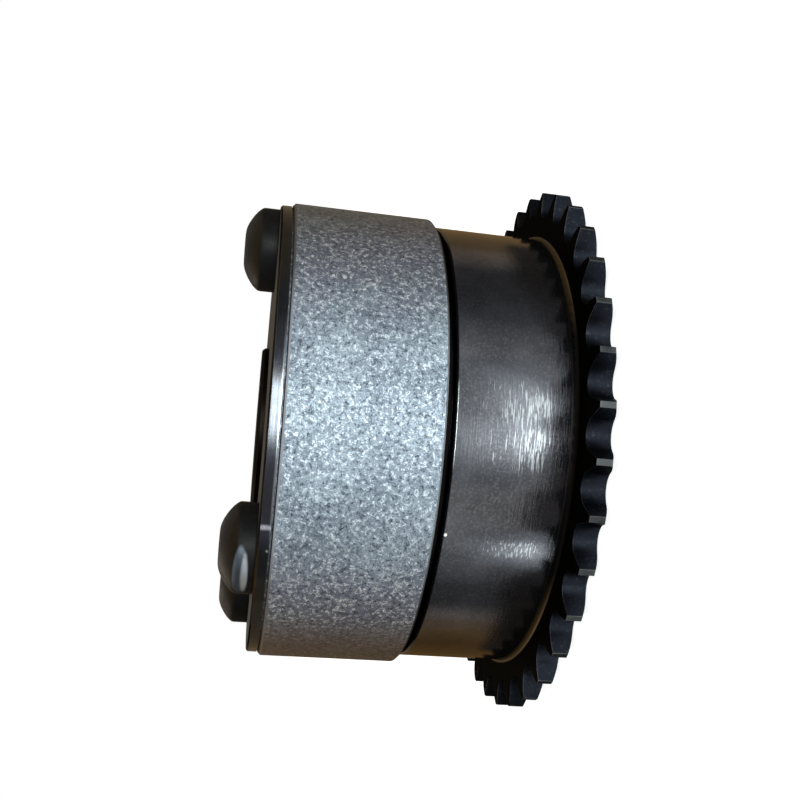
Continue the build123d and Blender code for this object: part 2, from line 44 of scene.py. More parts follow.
# Sizes of the part that the materials need, in metres: radii from the axis, and heights above the
# chain ring's back face
BARREL_R = 0.03975
BARREL_TOP = 0.0233
FILLET_R = 0.04055
TOOTH_TIP_R = 0.0481
CHAIN_RING_T = 0.0040
STATOR_R = 0.0410
COVER_BOTTOM = 0.0489
COVER_TOP = 0.05075
HEAD_WALL_TOP = 0.0535

# The worn spot on one bolt head, which is also a painted highlight: the middle of its grey and of
# its bright bare part, the way that both run in X and Y, and half of how far they reach into the
# head
WORN_HIGHLIGHT_SPOT = (-0.0222, -0.0329, 0.0530)
WORN_HIGHLIGHT_EDGE = (-0.0226, -0.0327, 0.0523)
WORN_HIGHLIGHT_ALONG = (-0.819, 0.574)
WORN_HIGHLIGHT_HALF_DEPTH = 0.0035

# Marks that only the photographed side has fade in between these two places along Y: among them are
# two nicks, given by X, Z and radius, and a painted glint on the cover's rim, given by X
NEAR_SIDE_START = -0.028
NEAR_SIDE_FULL = -0.032
BARREL_NICK = (-0.0136, 0.0226, 0.00032)
RIM_NICK = (-0.0180, 0.0492, 0.00026)
RIM_GLINT_X = -0.0143

# Where the barrel is scratched under a painted highlight, in metres: the heights between which the
# scratches fade in, are full and fade out again, and the half sizes of the two painted reflection
# lobes among them
SCRATCHED_AND_LIT_Z = (0.0076, 0.0086, 0.0110, 0.0205)
REFLECTION_LOBE_HALF_WIDTH = 0.0020
REFLECTION_LOBE_HALF_LENGTH = 0.0031

# How fast the noise for turned marks changes, per metre: from stroke to stroke, and along a line
STROKES_PER_METRE = 3900.0
LATHE_AROUND = 60.0

BEVEL_SAMPLES = 6

# An edge shows where 1 less the cosine between its rounded and its plain normal is in this range
EDGE_BEND = (0.002, 0.12)

WHITE = (1.0, 1.0, 1.0)
NICK_COLOR = (0.9, 0.9, 0.9)


# ---- node helpers

class Nodes:
    """Builds one material's node tree, with short calls for the nodes it needs."""

    def __init__(self, name):
        self.material = bpy.data.materials.new(name)
        self.material.use_nodes = True
        self.tree = self.material.node_tree
        self.tree.nodes.clear()
        output = self.tree.nodes.new("ShaderNodeOutputMaterial")
        self.shader = self.tree.nodes.new("ShaderNodeBsdfPrincipled")
        self.tree.links.new(self.shader.outputs[0], output.inputs[0])
        place = self.tree.nodes.new("ShaderNodeTexCoord")
        self.coords = place.outputs["Object"]
        self.x, self.y, self.z = self.split(self.coords)
        self.r = self.math("SQRT", self.squares(self.x, self.y))
        self.level = self.absolute(self.split(place.outputs["Normal"])[2])

    def put(self, value, socket):
        """Links a socket to a value that is another node's output, or else sets the value on it."""
        if isinstance(value, bpy.types.NodeSocket):
            self.tree.links.new(value, socket)
        else:
            socket.default_value = value

    def split(self, vector):
        node = self.tree.nodes.new("ShaderNodeSeparateXYZ")
        self.tree.links.new(vector, node.inputs[0])
        return node.outputs

    def math(self, operation, a, b=0.0):
        node = self.tree.nodes.new("ShaderNodeMath")
        node.operation = operation
        self.put(a, node.inputs[0])
        self.put(b, node.inputs[1])
        return node.outputs[0]

    def plus(self, a, b):
        return self.math("ADD", a, b)

    def minus(self, a, b):
        return self.math("SUBTRACT", a, b)

    def times(self, a, b):
        return self.math("MULTIPLY", a, b)

    def larger(self, a, b):
        return self.math("MAXIMUM", a, b)

    def absolute(self, a):
        return self.math("ABSOLUTE", a)

    def squares(self, *values):
        """The sum of the squares of the values."""
        total = self.times(values[0], values[0])
        for value in values[1:]:
            total = self.plus(self.times(value, value), total)
        return total

    def ramp(self, value, low, high, to_low=0.0, to_high=1.0):
        """A smooth change from to_low at low to to_high at high, and no change beyond them."""
        node = self.tree.nodes.new("ShaderNodeMapRange")
        node.interpolation_type = "SMOOTHSTEP"
        self.put(value, node.inputs["Value"])
        node.inputs["From Min"].default_value = low
        node.inputs["From Max"].default_value = high
        node.inputs["To Min"].default_value = to_low
        node.inputs["To Max"].default_value = to_high
        return node.outputs[0]

    def within(self, value, start, full, full_end, end):
        """1 between full and full_end, fading to 0 at start and at end."""
        return self.times(self.ramp(value, start, full), self.ramp(value, end, full_end))

    def near_side(self):
        """1 on the side that the photograph shows, and 0 elsewhere."""
        return self.ramp(self.y, NEAR_SIDE_START, NEAR_SIDE_FULL)

    def vector(self, x, y, z):
        node = self.tree.nodes.new("ShaderNodeCombineXYZ")
        for value, socket in zip((x, y, z), node.inputs):
            self.put(value, socket)
        return node.outputs[0]

    def stretched(self, x, y, z):
        """The coordinates, scaled by a number along each axis."""
        node = self.tree.nodes.new("ShaderNodeVectorMath")
        node.operation = "MULTIPLY"
        self.tree.links.new(self.coords, node.inputs[0])
        node.inputs[1].default_value = (x, y, z)
        return node.outputs[0]

    def noise(self, vector, scale, detail=2.0, roughness=0.5, distortion=0.0):
        node = self.tree.nodes.new("ShaderNodeTexNoise")
        self.tree.links.new(vector, node.inputs["Vector"])
        node.inputs["Scale"].default_value = scale
        node.inputs["Detail"].default_value = detail
        node.inputs["Roughness"].default_value = roughness
        node.inputs["Distortion"].default_value = distortion
        return node.outputs[0]

    def warped(self, vector, scale, amount):
        """The coordinates pushed about by a colour noise, so that what follows curls."""
        node = self.tree.nodes.new("ShaderNodeTexNoise")
        self.tree.links.new(vector, node.inputs["Vector"])
        node.inputs["Scale"].default_value = scale
        push = self.tree.nodes.new("ShaderNodeVectorMath")
        push.operation = "MULTIPLY_ADD"
        self.tree.links.new(node.outputs["Color"], push.inputs[0])
        push.inputs[1].default_value = (amount, amount, amount)
        self.tree.links.new(vector, push.inputs[2])
        return push.outputs[0]

    def mix(self, factor, a, b):
        """Colour a at a factor of 0 and colour b at 1."""
        node = self.tree.nodes.new("ShaderNodeMix")
        node.data_type = "RGBA"
        self.put(factor, node.inputs["Factor"])
        for value, socket in ((a, node.inputs["A"]), (b, node.inputs["B"])):
            linked = isinstance(value, bpy.types.NodeSocket)
            self.put(value if linked else (*value, 1.0), socket)
        return node.outputs["Result"]

    def bump(self, height, distance, normal=None):
        node = self.tree.nodes.new("ShaderNodeBump")
        self.tree.links.new(height, node.inputs["Height"])
        node.inputs["Distance"].default_value = distance
        node.inputs["Strength"].default_value = 1.0
        if normal is not None:
            self.tree.links.new(normal, node.inputs["Normal"])
        return node.outputs[0]

    def bevel(self, radius):
        """The normal with the sharp edges rounded off."""
        node = self.tree.nodes.new("ShaderNodeBevel")
        node.samples = BEVEL_SAMPLES
        node.inputs["Radius"].default_value = radius
        return node.outputs[0]

    def edges(self, radius):
        """1 along the sharp edges of the piece, and 0 on its flat and round surfaces."""
        plain = self.tree.nodes.new("ShaderNodeNewGeometry").outputs["Normal"]
        dot = self.tree.nodes.new("ShaderNodeVectorMath")
        dot.operation = "DOT_PRODUCT"
        self.tree.links.new(self.bevel(radius), dot.inputs[0])
        self.tree.links.new(plain, dot.inputs[1])
        return self.ramp(self.minus(1.0, dot.outputs["Value"]), *EDGE_BEND)

    def spot(self, place, along, half_length, half_height, full=0.6):
        """1 in an upright oval at a place, whose length lies along a level direction.

        It fades to 0 at the oval's edge, and starts to fade where the squared distance is full.
        """
        lengthwise = self.plus(
            self.times(self.minus(self.x, place[0]), along[0] / half_length),
            self.times(self.minus(self.y, place[1]), along[1] / half_length))
        outwards = self.plus(
            self.times(self.minus(self.x, place[0]), -along[1] / WORN_HIGHLIGHT_HALF_DEPTH),
            self.times(self.minus(self.y, place[1]), along[0] / WORN_HIGHLIGHT_HALF_DEPTH))
        upwards = self.math("DIVIDE", self.minus(self.z, place[2]), half_height)
        return self.ramp(self.squares(lengthwise, outwards, upwards), 1.0, full)

    def nick(self, x, z, radius):
        """1 in a small dot on the side that the photograph shows."""
        distance = self.math("SQRT", self.squares(self.minus(self.z, z), self.minus(self.x, x)))
        return self.times(self.ramp(distance, radius, radius * 0.6), self.near_side())

    def lathe_marks(self, across):
        """Fine turned lines that run round the axis, on faces and sides alike."""
        around = self.times(self.plus(self.x, self.times(self.y, 0.7)), LATHE_AROUND)
        vector = self.vector(self.times(self.r, across), self.times(self.z, across), around)
        return self.noise(vector, 1.0, detail=3.0, roughness=0.65)

    def surface(self, **sockets):
        """Sets the shader's sockets, named with _ for a space, and gives the material."""
        for name, value in sockets.items():
            self.put(value, self.shader.inputs[name.replace("_", " ")])
        return self.material


# ---- materials

def stator_material():
    """Light blue-grey sintered metal: bright worm-like flecks, dark pits and a mottled ground."""
    n = Nodes("stator_metal")
    sideways = n.absolute(n.x)

    # The patterns: curling lines that show as bright worms or as dark furrows, and finer grain
    lines = n.noise(n.warped(n.coords, 1200.0, 0.0010), 1600.0,
                    detail=2.0, roughness=0.55, distortion=1.0)
    ridges = n.minus(1.0, n.absolute(n.minus(n.times(lines, 2.0), 1.0)))
    patches = n.noise(n.coords, 1350.0, detail=3.0, roughness=0.6)
    worms = n.times(n.ramp(ridges, 0.88, 0.98), n.ramp(patches, 0.49, 0.58))
    furrows = n.times(n.ramp(ridges, 0.86, 0.96), n.ramp(patches, 0.49, 0.40))
    fine = n.noise(n.coords, 2300.0, detail=3.0, roughness=0.65, distortion=1.5)
    clouds = n.noise(n.coords, 130.0, detail=5.0, roughness=0.65)
    tint = n.noise(n.coords, 55.0, detail=3.0, roughness=0.6)
    off_middle = n.ramp(sideways, 0.012, 0.026, 0.15, 1.0)
    painted_brown_reflection = n.larger(n.ramp(n.x, -0.027, -0.036), n.ramp(n.x, 0.029, 0.038, 0.0, 0.5))

    # The ground, then the worms and furrows on it, painted shade, and a painted brown reflection on
    # both ends of what shows
    base = n.mix(n.ramp(clouds, 0.3, 0.7), (0.215, 0.270, 0.315), (0.350, 0.432, 0.480))
    base = n.mix(n.times(n.ramp(tint, 0.40, 0.60), off_middle),
                 base, n.mix(0.6, base, (0.285, 0.290, 0.375)))
    base = n.mix(n.ramp(fine, 0.35, 0.65), n.mix(0.5, base, (0.10, 0.12, 0.15)), base)
    # Painted shade: darker towards both ends in X, away from the lit middle
    base = n.mix(n.ramp(sideways, 0.018, 0.030, 0.0, 0.25), base, (0.030, 0.030, 0.035))
    base = n.mix(n.times(worms, n.ramp(painted_brown_reflection, 0.0, 0.5, 0.80, 0.45)),
                 base, n.mix(off_middle, (0.74, 0.83, 0.88), (0.95, 1.0, 1.0)))
    base = n.mix(n.times(furrows, 0.88), base, (0.030, 0.036, 0.050))
    base = n.mix(painted_brown_reflection, base, n.mix(0.6, base, (0.135, 0.085, 0.035)))

    # The chamfers are black, with a painted highlight on the outer edge in the middle of what shows
    outer_edge_highlight = n.mix(n.ramp(sideways, 0.012, 0.028), (0.40, 0.43, 0.46), (0.085, 0.080, 0.072))
    chamfer = n.mix(n.ramp(n.r, STATOR_R - 0.00036, STATOR_R - 0.00026),
                    (0.010, 0.011, 0.014), outer_edge_highlight)
    base = n.mix(n.ramp(n.level, 0.35, 0.65), base, chamfer)

    height = n.plus(n.times(ridges, 0.7), n.times(fine, 0.6))
    # The painted brown reflection also tints the reflections brown
    return n.surface(Base_Color=base, Metallic=0.85,
                     Roughness=n.ramp(fine, 0.3, 0.7, 0.60, 0.46),
                     Normal=n.bump(height, 0.00012, n.bevel(0.00008)),
                     Specular_Tint=n.mix(painted_brown_reflection, WHITE, (0.72, 0.60, 0.42)))


def scratched_and_lit_zone(n, low_x, high_x, margin):
    """1 where the barrel is scratched under a painted highlight, between two places along X, fading
    out over a margin.
    """
    across = n.within(n.x, low_x - margin, low_x, high_x, high_x + margin)
    return n.times(n.times(across, n.within(n.z, *SCRATCHED_AND_LIT_Z)), n.near_side())


def reflection_lobe(n, x, z):
    """Up to 1.3 in a soft oval on the barrel, stronger towards the chain ring: a painted
    reflection.
    """
    distance = n.squares(n.math("DIVIDE", n.minus(n.z, z), REFLECTION_LOBE_HALF_LENGTH),
                         n.math("DIVIDE", n.minus(n.x, x), REFLECTION_LOBE_HALF_WIDTH))
    fade = n.ramp(n.z, z + REFLECTION_LOBE_HALF_LENGTH, z - REFLECTION_LOBE_HALF_LENGTH, 0.2, 1.3)
    return n.times(n.ramp(distance, 1.0, 0.45), fade)


def strokes_in(n, zone, wobble, length):
    """1 on fine strokes round the barrel inside a zone, where length sets how short they are."""
    across = n.plus(n.times(n.z, STROKES_PER_METRE), wobble)
    place = n.vector(n.times(n.x, length), 0.0, across)
    strokes = n.plus(n.noise(place, 1.0, detail=3.0, roughness=0.65), n.times(zone, 0.12))
    return n.times(n.ramp(strokes, 0.64, 0.70), n.ramp(zone, 0.0, 0.12))


def scratches_and_painted_highlight(n):
    """1 on bright scratches that run round the barrel, in two rubbed places that also carry a
    painted highlight, and on two painted reflection lobes.
    """
    wobble = n.times(n.noise(n.stretched(110.0, 0.0, 60.0), 1.0), 1.6)
    # Two painted reflection lobes, which the scratches fill
    lobes = n.larger(reflection_lobe(n, 0.0016, 0.0114), reflection_lobe(n, 0.0068, 0.0104))
    wide = n.plus(scratched_and_lit_zone(n, -0.0010, 0.0085, 0.0035), n.times(lobes, 0.55))
    narrow = scratched_and_lit_zone(n, -0.0162, -0.0144, 0.0010)
    return n.larger(strokes_in(n, wide, wobble, 260.0), strokes_in(n, narrow, wobble, 950.0))


def ring_color(n, mottle, fillet):
    """Navy-black teeth, brown-black faces, and a fillet with a painted reflection: brown off the
    middle, near black in it.
    """
    teeth = n.mix(mottle, (0.007, 0.0085, 0.0125), (0.025, 0.029, 0.039))
    flecks = n.ramp(n.noise(n.coords, 1900.0, detail=3.0, roughness=0.65), 0.56, 0.70, 0.0, 0.5)
    teeth = n.mix(flecks, teeth, (0.060, 0.066, 0.074))
    face = n.mix(mottle, (0.0045, 0.0032, 0.0020), (0.0110, 0.0080, 0.0050))
    color = n.mix(n.ramp(n.level, 0.4, 0.8), teeth, face)
    # Painted reflection on the fillet: brown off the middle, near black in it
    brown = n.ramp(n.absolute(n.x), 0.018, 0.030)
    return n.mix(fillet, color, n.mix(brown, (0.0030, 0.0024, 0.0020), (0.065, 0.046, 0.020)))


def barrel_color(n, grain, streaks, neck):
    """Dark polished steel with grain, turned streaks, scratches under a painted highlight with
    painted reflection lobes, and a painted highlight line at its end.
    """
    clouds = n.noise(n.coords, 140.0, detail=4.0, roughness=0.6)
    color = n.mix(n.ramp(clouds, 0.3, 0.7), (0.056, 0.057, 0.063), (0.088, 0.090, 0.100))
    color = n.mix(n.ramp(grain, 0.45, 0.70, 0.0, 0.5), color, (0.135, 0.138, 0.148))
    color = n.mix(n.ramp(streaks, 0.62, 0.68, 0.0, 0.15), color, (0.24, 0.24, 0.25))
    # Scratches on the near side, which also paint a highlight there and two reflection lobes
    color = n.mix(scratches_and_painted_highlight(n), color, (0.23, 0.245, 0.25))
    # A painted highlight along the barrel's end, in the middle of the near side
    end_highlight_line = n.times(n.within(n.z, BARREL_TOP - 0.00062, BARREL_TOP - 0.00054,
                                BARREL_TOP - 0.00042, BARREL_TOP - 0.00034),
                       n.within(n.x, -0.004, -0.002, 0.0085, 0.0105))
    color = n.mix(n.times(end_highlight_line, n.near_side()), color, (0.48, 0.53, 0.52))
    color = n.mix(n.nick(*BARREL_NICK), color, NICK_COLOR)
    return n.mix(neck, color, (0.0045, 0.0042, 0.0040))


def sprocket_material():
    """A dark polished barrel and neck, brown-black faces, and navy-black teeth with tips of clean
    metal and painted highlights along their edges.
    """
    n = Nodes("sprocket_steel")

    # Where each part of the piece is
    barrel = n.times(n.ramp(n.r, BARREL_R + 0.0002, BARREL_R + 0.00005),
                     n.ramp(n.z, CHAIN_RING_T + 0.0008, CHAIN_RING_T + 0.0012))
    fillet = n.times(n.ramp(n.r, FILLET_R + 0.0004, FILLET_R),
                     n.ramp(n.z, CHAIN_RING_T + 0.00002, CHAIN_RING_T + 0.0001))
    neck = n.larger(n.ramp(n.r, BARREL_R - 0.00025, BARREL_R - 0.00040),
                    n.ramp(n.z, BARREL_TOP - 0.00004, BARREL_TOP + 0.00004))
    tooth_tips = n.ramp(n.r, TOOTH_TIP_R - 0.00014, TOOTH_TIP_R - 0.00004)
    # Painted highlights along the teeth's edges
    tooth_edge_highlights = n.times(n.edges(0.00016),
                          n.ramp(n.r, FILLET_R + 0.0030, FILLET_R + 0.0045, 0.0, 0.45))

    mottle = n.noise(n.coords, 160.0, detail=5.0, roughness=0.65)
    grain = n.noise(n.coords, 2600.0, detail=2.0)
    streaks = n.noise(n.stretched(240.0, 240.0, 2900.0), 1.0, detail=4.0, roughness=0.7)
    base = n.mix(barrel, ring_color(n, mottle, fillet), barrel_color(n, grain, streaks, neck))
    base = n.mix(n.times(tooth_tips, n.ramp(mottle, 0.30, 0.45, 0.35, 1.0)),
                 base, (0.095, 0.105, 0.105))
    base = n.mix(n.times(tooth_edge_highlights, n.ramp(mottle, 0.35, 0.60)), base, (0.20, 0.215, 0.22))

    shiny = n.times(n.larger(barrel, fillet), n.minus(1.0, neck))
    height = n.plus(n.times(n.ramp(streaks, 0.32, 0.68), n.times(barrel, 0.45)),
                    n.times(grain, 0.2))
    return n.surface(Base_Color=base, Metallic=0.95,
                     Roughness=n.plus(n.times(barrel, -0.30),
                                      n.ramp(streaks, 0.3, 0.7, 0.38, 0.45)),
                     Normal=n.bump(height, 0.00001, n.bevel(0.00015)),
                     Specular_Tint=n.mix(shiny, (0.06, 0.05, 0.04), (0.90, 0.90, 0.90)))


def rim_color(n, lathe):
    """The cover's polished rim, with painted highlights on its edges and its lower edge, a painted
    glint and a nick.
    """
    color = n.mix(lathe, (0.042, 0.049, 0.060), (0.088, 0.101, 0.118))
    # Painted highlights along the rim's edges, and on its lower edge towards the middle
    color = n.mix(n.times(n.edges(0.00020), 0.3), color, (0.30, 0.33, 0.35))
    lower_edge_highlight = n.times(n.ramp(n.z, COVER_BOTTOM + 0.00030, COVER_BOTTOM + 0.00016, 0.0, 0.85),
                         n.ramp(n.absolute(n.x), 0.018, 0.011))
    color = n.mix(lower_edge_highlight, color, (0.40, 0.43, 0.46))
    # A painted glint on the near side of the rim
    glint = n.ramp(n.absolute(n.minus(n.x, RIM_GLINT_X)), 0.00060, 0.00010, 0.0, 0.9)
    color = n.mix(n.times(glint, n.near_side()), color, (0.85, 0.90, 0.95))
    return n.mix(n.nick(*RIM_NICK), color, NICK_COLOR)


def cover_material():
    """Turned steel: a polished rim, a chamfer painted with a reflection, tan off the middle and
    near black in it, and a dark brown face.
    """
    n = Nodes("cover_steel")
    lathe = n.lathe_marks(6500.0)
    clouds = n.noise(n.coords, 220.0, detail=4.0, roughness=0.6)
    on_chamfer = n.ramp(n.level, 0.30, 0.60)
    on_face = n.larger(n.ramp(n.level, 0.80, 0.95), n.ramp(n.r, 0.030, 0.025))
    # Painted reflection on the chamfer: tan off the middle, near black in it
    chamfer = n.mix(clouds, (0.036, 0.029, 0.018), (0.085, 0.070, 0.044))
    chamfer = n.mix(n.ramp(n.absolute(n.x), 0.012, 0.030), (0.0085, 0.0072, 0.0055), chamfer)
    base = n.mix(on_chamfer, rim_color(n, lathe), chamfer)
    base = n.mix(on_face, base, n.mix(lathe, (0.026, 0.023, 0.019), (0.064, 0.058, 0.050)))
    base = n.mix(n.ramp(clouds, 0.35, 0.65), base, n.mix(0.4, base, (0.030, 0.022, 0.012)))
    return n.surface(Base_Color=base, Metallic=n.minus(0.95, n.times(on_face, 0.55)),
                     Roughness=n.plus(n.ramp(lathe, 0.3, 0.7, 0.24, 0.16),
                                      n.times(on_face, 0.32)),
                     Normal=n.bump(lathe, 0.00001, n.bevel(0.00010)),
                     Specular_Tint=n.mix(on_chamfer, (0.80, 0.80, 0.80), (0.06, 0.05, 0.04)),
                     Specular_IOR_Level=0.2)


def bolt_material():
    """Dark brown phosphated steel, greyer on the wall than on the top, with one spot of wear that
    is also a painted highlight.
    """
    n = Nodes("bolt_steel")
    mottle = n.noise(n.coords, 420.0, detail=4.0, roughness=0.6)
    grain = n.noise(n.coords, 1900.0, detail=3.0)
    top = n.mix(mottle, (0.009, 0.0062, 0.003), (0.021, 0.0150, 0.0080))
    wall = n.mix(mottle, (0.009, 0.009, 0.009), (0.020, 0.0205, 0.021))
    base = n.mix(n.ramp(n.z, HEAD_WALL_TOP - 0.0002, HEAD_WALL_TOP + 0.0004), wall, top)
    # A painted highlight shown as wear: a grey oval with a brighter bare edge
    worn_highlight = n.spot(WORN_HIGHLIGHT_SPOT, WORN_HIGHLIGHT_ALONG, 0.0057, 0.0012)
    base = n.mix(worn_highlight, base, n.mix(mottle, (0.055, 0.066, 0.078), (0.10, 0.12, 0.14)))
    bare_highlight = n.spot(WORN_HIGHLIGHT_EDGE, WORN_HIGHLIGHT_ALONG, 0.0047, 0.0007, full=0.05)
    base = n.mix(bare_highlight, base, n.mix(mottle, (0.34, 0.38, 0.42), (0.56, 0.60, 0.64)))
    return n.surface(Base_Color=base, Metallic=n.plus(0.5, n.times(worn_highlight, 0.3)),
                     Roughness=n.ramp(mottle, 0.3, 0.7, 0.40, 0.52),
                     Normal=n.bump(grain, 0.00002, n.bevel(0.0003)),
                     Specular_Tint=(0.3, 0.28, 0.24, 1.0), Specular_IOR_Level=0.15)


def rotor_material():
    """Grey sintered metal, with a hub that is darker where it stands out of the cover."""
    n = Nodes("rotor_metal")
    grain = n.noise(n.coords, 1700.0, detail=4.0, roughness=0.65)
    lathe = n.lathe_marks(4200.0)
    outside = n.ramp(n.z, COVER_TOP - 0.0003, COVER_TOP)
    hub_side = n.mix(grain, (0.006, 0.0045, 0.003), (0.014, 0.011, 0.008))
    hub_end = n.mix(grain, (0.045, 0.043, 0.040), (0.10, 0.095, 0.088))
    base = n.mix(outside, n.mix(grain, (0.22, 0.225, 0.235), (0.40, 0.405, 0.42)),
                 n.mix(n.ramp(n.level, 0.75, 0.95), hub_side, hub_end))
    height = n.plus(n.times(lathe, 0.6), n.times(grain, 0.5))
    return n.surface(Base_Color=base, Metallic=0.9,
                     Roughness=n.ramp(lathe, 0.3, 0.7, 0.32, 0.46),
                     Normal=n.bump(height, 0.00003, n.bevel(0.0001)),
                     Specular_Tint=n.mix(outside, (0.90, 0.90, 0.90), (0.04, 0.035, 0.03)))


def ground_steel_material(name, low, high):
    """Bright steel with fine grinding marks, between two colours."""
    n = Nodes(name)
    marks = n.noise(n.stretched(1500.0, 1500.0, 5200.0), 1.0, detail=3.0, roughness=0.6)
    return n.surface(Base_Color=n.mix(marks, low, high), Metallic=1.0,
                     Roughness=n.ramp(marks, 0.3, 0.7, 0.22, 0.34),
                     Normal=n.bump(marks, 0.00001))


def seal_material():
    """Dark moulded sealing plastic."""
    n = Nodes("seal_plastic")
    grain = n.noise(n.coords, 1300.0, detail=4.0, roughness=0.6)
    return n.surface(Base_Color=n.mix(grain, (0.022, 0.020, 0.018), (0.045, 0.041, 0.036)),
                     Metallic=0.0, Roughness=n.ramp(grain, 0.3, 0.7, 0.46, 0.60),
                     Normal=n.bump(grain, 0.00002))


materials = {
    "sprocket_steel": sprocket_material(),
    "stator_metal": stator_material(),
    "cover_steel": cover_material(),
    "bolt_steel": bolt_material(),
    "rotor_metal": rotor_material(),
    "pin_steel": ground_steel_material("pin_steel", (0.34, 0.34, 0.35), (0.52, 0.52, 0.53)),
    "spring_steel": ground_steel_material("spring_steel", (0.28, 0.275, 0.27), (0.44, 0.43, 0.42)),
    "seal_plastic": seal_material(),
}
for part in frame["record"]["subparts"]:
    node = frame["nodes"][part["node"]]
    for slot in node.material_slots:
        slot.material = materials[part["material_slot"]]


# ---- cover bolts, with the flattened tops and full shoulders that the photograph shows

BOLT_ANGLES = (-9.0, -125.5, 161.5)
BOLT_CIRCLE_R = 0.03243
BOLT_SEGMENTS = 72
BOLT_SHARP_ANGLE = math.radians(28.0)

# Radius and height over the cover, in millimetres, from the shank's end to the head's flat top
BOLT_PROFILE_MM = (
    (3.2, -36.85), (4.0, -36.05), (4.0, 0.0), (7.3, 0.0), (7.3, 2.60), (7.22, 2.95), (6.98, 3.30),
    (6.55, 3.78), (6.0, 4.25), (5.2, 4.80), (4.4, 5.24), (3.7, 5.53), (3.1, 5.68), (2.7, 5.72))

# The six-lobed drive recess in the head, in metres
RECESS_R = 0.0021
RECESS_WAVE = 0.0003
RECESS_LOBES = 6.0
RECESS_TOP = 0.00572
RECESS_FLOOR = 0.0026


def recess_radius(angle):
    return RECESS_R + RECESS_WAVE * math.cos(RECESS_LOBES * angle)


def bolt_rings():
    """Radius functions and heights, from the shank's end over the head and into the recess."""
    rings = [(lambda angle, r=r: r / 1000.0, z / 1000.0) for r, z in BOLT_PROFILE_MM]
    return rings + [(recess_radius, RECESS_TOP), (recess_radius, RECESS_FLOOR)]


def add_bolt(degrees, points, faces):
    """Adds one bolt's rings of points and its faces, at an angle round the axis."""
    bearing = math.radians(degrees)
    x = BOLT_CIRCLE_R * math.cos(bearing)
    y = BOLT_CIRCLE_R * math.sin(bearing)
    first = len(points)
    rings = bolt_rings()
    for radius, z in rings:
        for k in range(BOLT_SEGMENTS):
            a = 2.0 * math.pi * k / BOLT_SEGMENTS
            points.append((x + radius(a) * math.cos(a + bearing),
                           y + radius(a) * math.sin(a + bearing), COVER_TOP + z))
    for j in range(len(rings) - 1):
        ring = first + j * BOLT_SEGMENTS
        for k in range(BOLT_SEGMENTS):
            here = ring + k
            beside = ring + (k + 1) % BOLT_SEGMENTS
            faces.append((here, beside, beside + BOLT_SEGMENTS, here + BOLT_SEGMENTS))
    last = first + (len(rings) - 1) * BOLT_SEGMENTS
    faces.append(tuple(range(first + BOLT_SEGMENTS - 1, first - 1, -1)))
    faces.append(tuple(range(last, last + BOLT_SEGMENTS)))


def cover_bolt_set():
    points = []
    faces = []
    for degrees in BOLT_ANGLES:
        add_bolt(degrees, points, faces)
    mesh = bpy.data.meshes.new("cover_bolt_set")
    mesh.from_pydata(points, [], faces)
    mesh.polygons.foreach_set("use_smooth", [True] * len(mesh.polygons))
    mesh.set_sharp_from_angle(angle=BOLT_SHARP_ANGLE)
    mesh.materials.append(materials["bolt_steel"])
    piece = bpy.data.objects.new("cover_bolt_set", mesh)
    bpy.context.scene.collection.objects.link(piece)
    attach(piece, "housing")
    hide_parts("cover_bolts")


cover_bolt_set()


# ---- camera, at the photograph's place: beside the axis, rolled so that the axis lies level

CAMERA_PLACE = (0.0, -0.17835, 0.05317)
CAMERA_RIGHT = Vector((0.08357, -0.15082, -0.98502))
CAMERA_UP = Vector((0.99601, 0.04375, 0.07780))
CAMERA_BACK = Vector((0.03136, -0.98759, 0.15388))

camera_data = bpy.data.cameras.new("camera")
camera_data.sensor_width = 36.0
camera_data.lens = 42.79
camera_data.shift_x = 0.0067
camera_data.shift_y = 0.0884
camera_data.clip_start = 0.01
camera_data.clip_end = 50.0
camera = bpy.data.objects.new("camera", camera_data)
camera_turn = Matrix((CAMERA_RIGHT, CAMERA_UP, CAMERA_BACK)).transposed().to_4x4()
camera.matrix_world = Matrix.Translation(CAMERA_PLACE) @ camera_turn
bpy.context.scene.collection.objects.link(camera)
bpy.context.scene.camera = camera


# ---- floor and world

FLOOR_HALF = 4.0
FLOOR_Z = -0.0001


def emptied(owner):
    """The node tree of a material or a world, with nothing in it yet."""
    owner.use_nodes = True
    owner.node_tree.nodes.clear()
    return owner.node_tree


def shader(tree, kind, **sockets):
    """A shader node with values set on its sockets."""
    node = tree.nodes.new(kind)
    for name, value in sockets.items():
        node.inputs[name].default_value = value
    return node


def link_output(tree, kind, surface):
    output = tree.nodes.new(kind)
    tree.links.new(surface.outputs[0], output.inputs[0])


def white_to_the_eye(tree, seen, lit):
    """Gives camera, glossy and transmission rays the seen shader, and other rays the lit one."""
    path = tree.nodes.new("ShaderNodeLightPath")
    either = tree.nodes.new("ShaderNodeMath")
    either.operation = "MAXIMUM"
    tree.links.new(path.outputs["Is Camera Ray"], either.inputs[0])
    tree.links.new(path.outputs["Is Glossy Ray"], either.inputs[1])
    any_ray = tree.nodes.new("ShaderNodeMath")
    any_ray.operation = "MAXIMUM"
    tree.links.new(either.outputs[0], any_ray.inputs[0])
    tree.links.new(path.outputs["Is Transmission Ray"], any_ray.inputs[1])
    mixed = tree.nodes.new("ShaderNodeMixShader")
    tree.links.new(any_ray.outputs[0], mixed.inputs[0])
    tree.links.new(lit.outputs[0], mixed.inputs[1])
    tree.links.new(seen.outputs[0], mixed.inputs[2])
    return mixed


world = bpy.data.worlds.new("studio")
bpy.context.scene.world = world
world_tree = emptied(world)
seen_sky = shader(world_tree, "ShaderNodeBackground", Strength=1.0, Color=(*WHITE, 1.0))
lit_sky = shader(world_tree, "ShaderNodeBackground", Strength=0.20, Color=(1.0, 0.98, 0.95, 1.0))
link_output(world_tree, "ShaderNodeOutputWorld", white_to_the_eye(world_tree, seen_sky, lit_sky))

